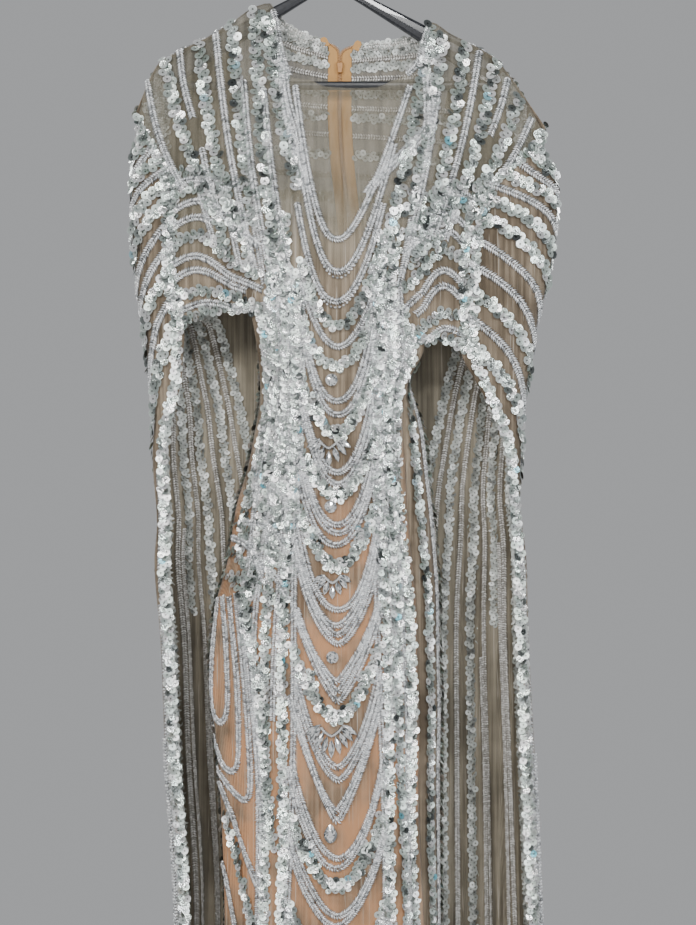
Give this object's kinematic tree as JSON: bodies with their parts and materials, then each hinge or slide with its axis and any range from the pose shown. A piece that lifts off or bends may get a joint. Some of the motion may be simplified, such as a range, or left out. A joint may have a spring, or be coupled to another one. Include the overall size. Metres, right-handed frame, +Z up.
{
  "type": "sequin performance dress on a hanger",
  "caption": "Floor-length nude net evening gown with swagged sequin and bead cords, a sheer neckline, a back zip and long cape panels, hung on a black plastic hanger.",
  "frame": {"origin": "inside top of the hanger's hook, where a rail carries it", "axes": "X to the viewer's right across the shoulders, Y from the front of the gown to its back, Z up"},
  "size_m": [0.4726, 0.2321, 1.6066],
  "materials": {
    "net": "fine nude net, beaded",
    "zip_tape": "woven tape",
    "zip_metal": "painted metal",
    "stone": "cut and foiled",
    "hanger_plastic": "satin black"
  },
  "bodies": {
    "root": {"gown_front": "net", "gown_back_left": "net", "gown_back_right": "net", "cape_left": "net", "cape_right": "net", "zip_tape_left": "zip_tape", "zip_tape_right": "zip_tape", "zip_slider": "zip_metal", "round_stone_upper": "stone", "round_stone_middle": "stone", "round_stone_lower": "stone", "drop_stone": "stone", "stone_fan_upper": "stone", "stone_fan_middle": "stone", "stone_fan_lower": "stone", "hanger": "hanger_plastic", "hanger_hook": "hanger_plastic"}
  },
  "joints": []
}
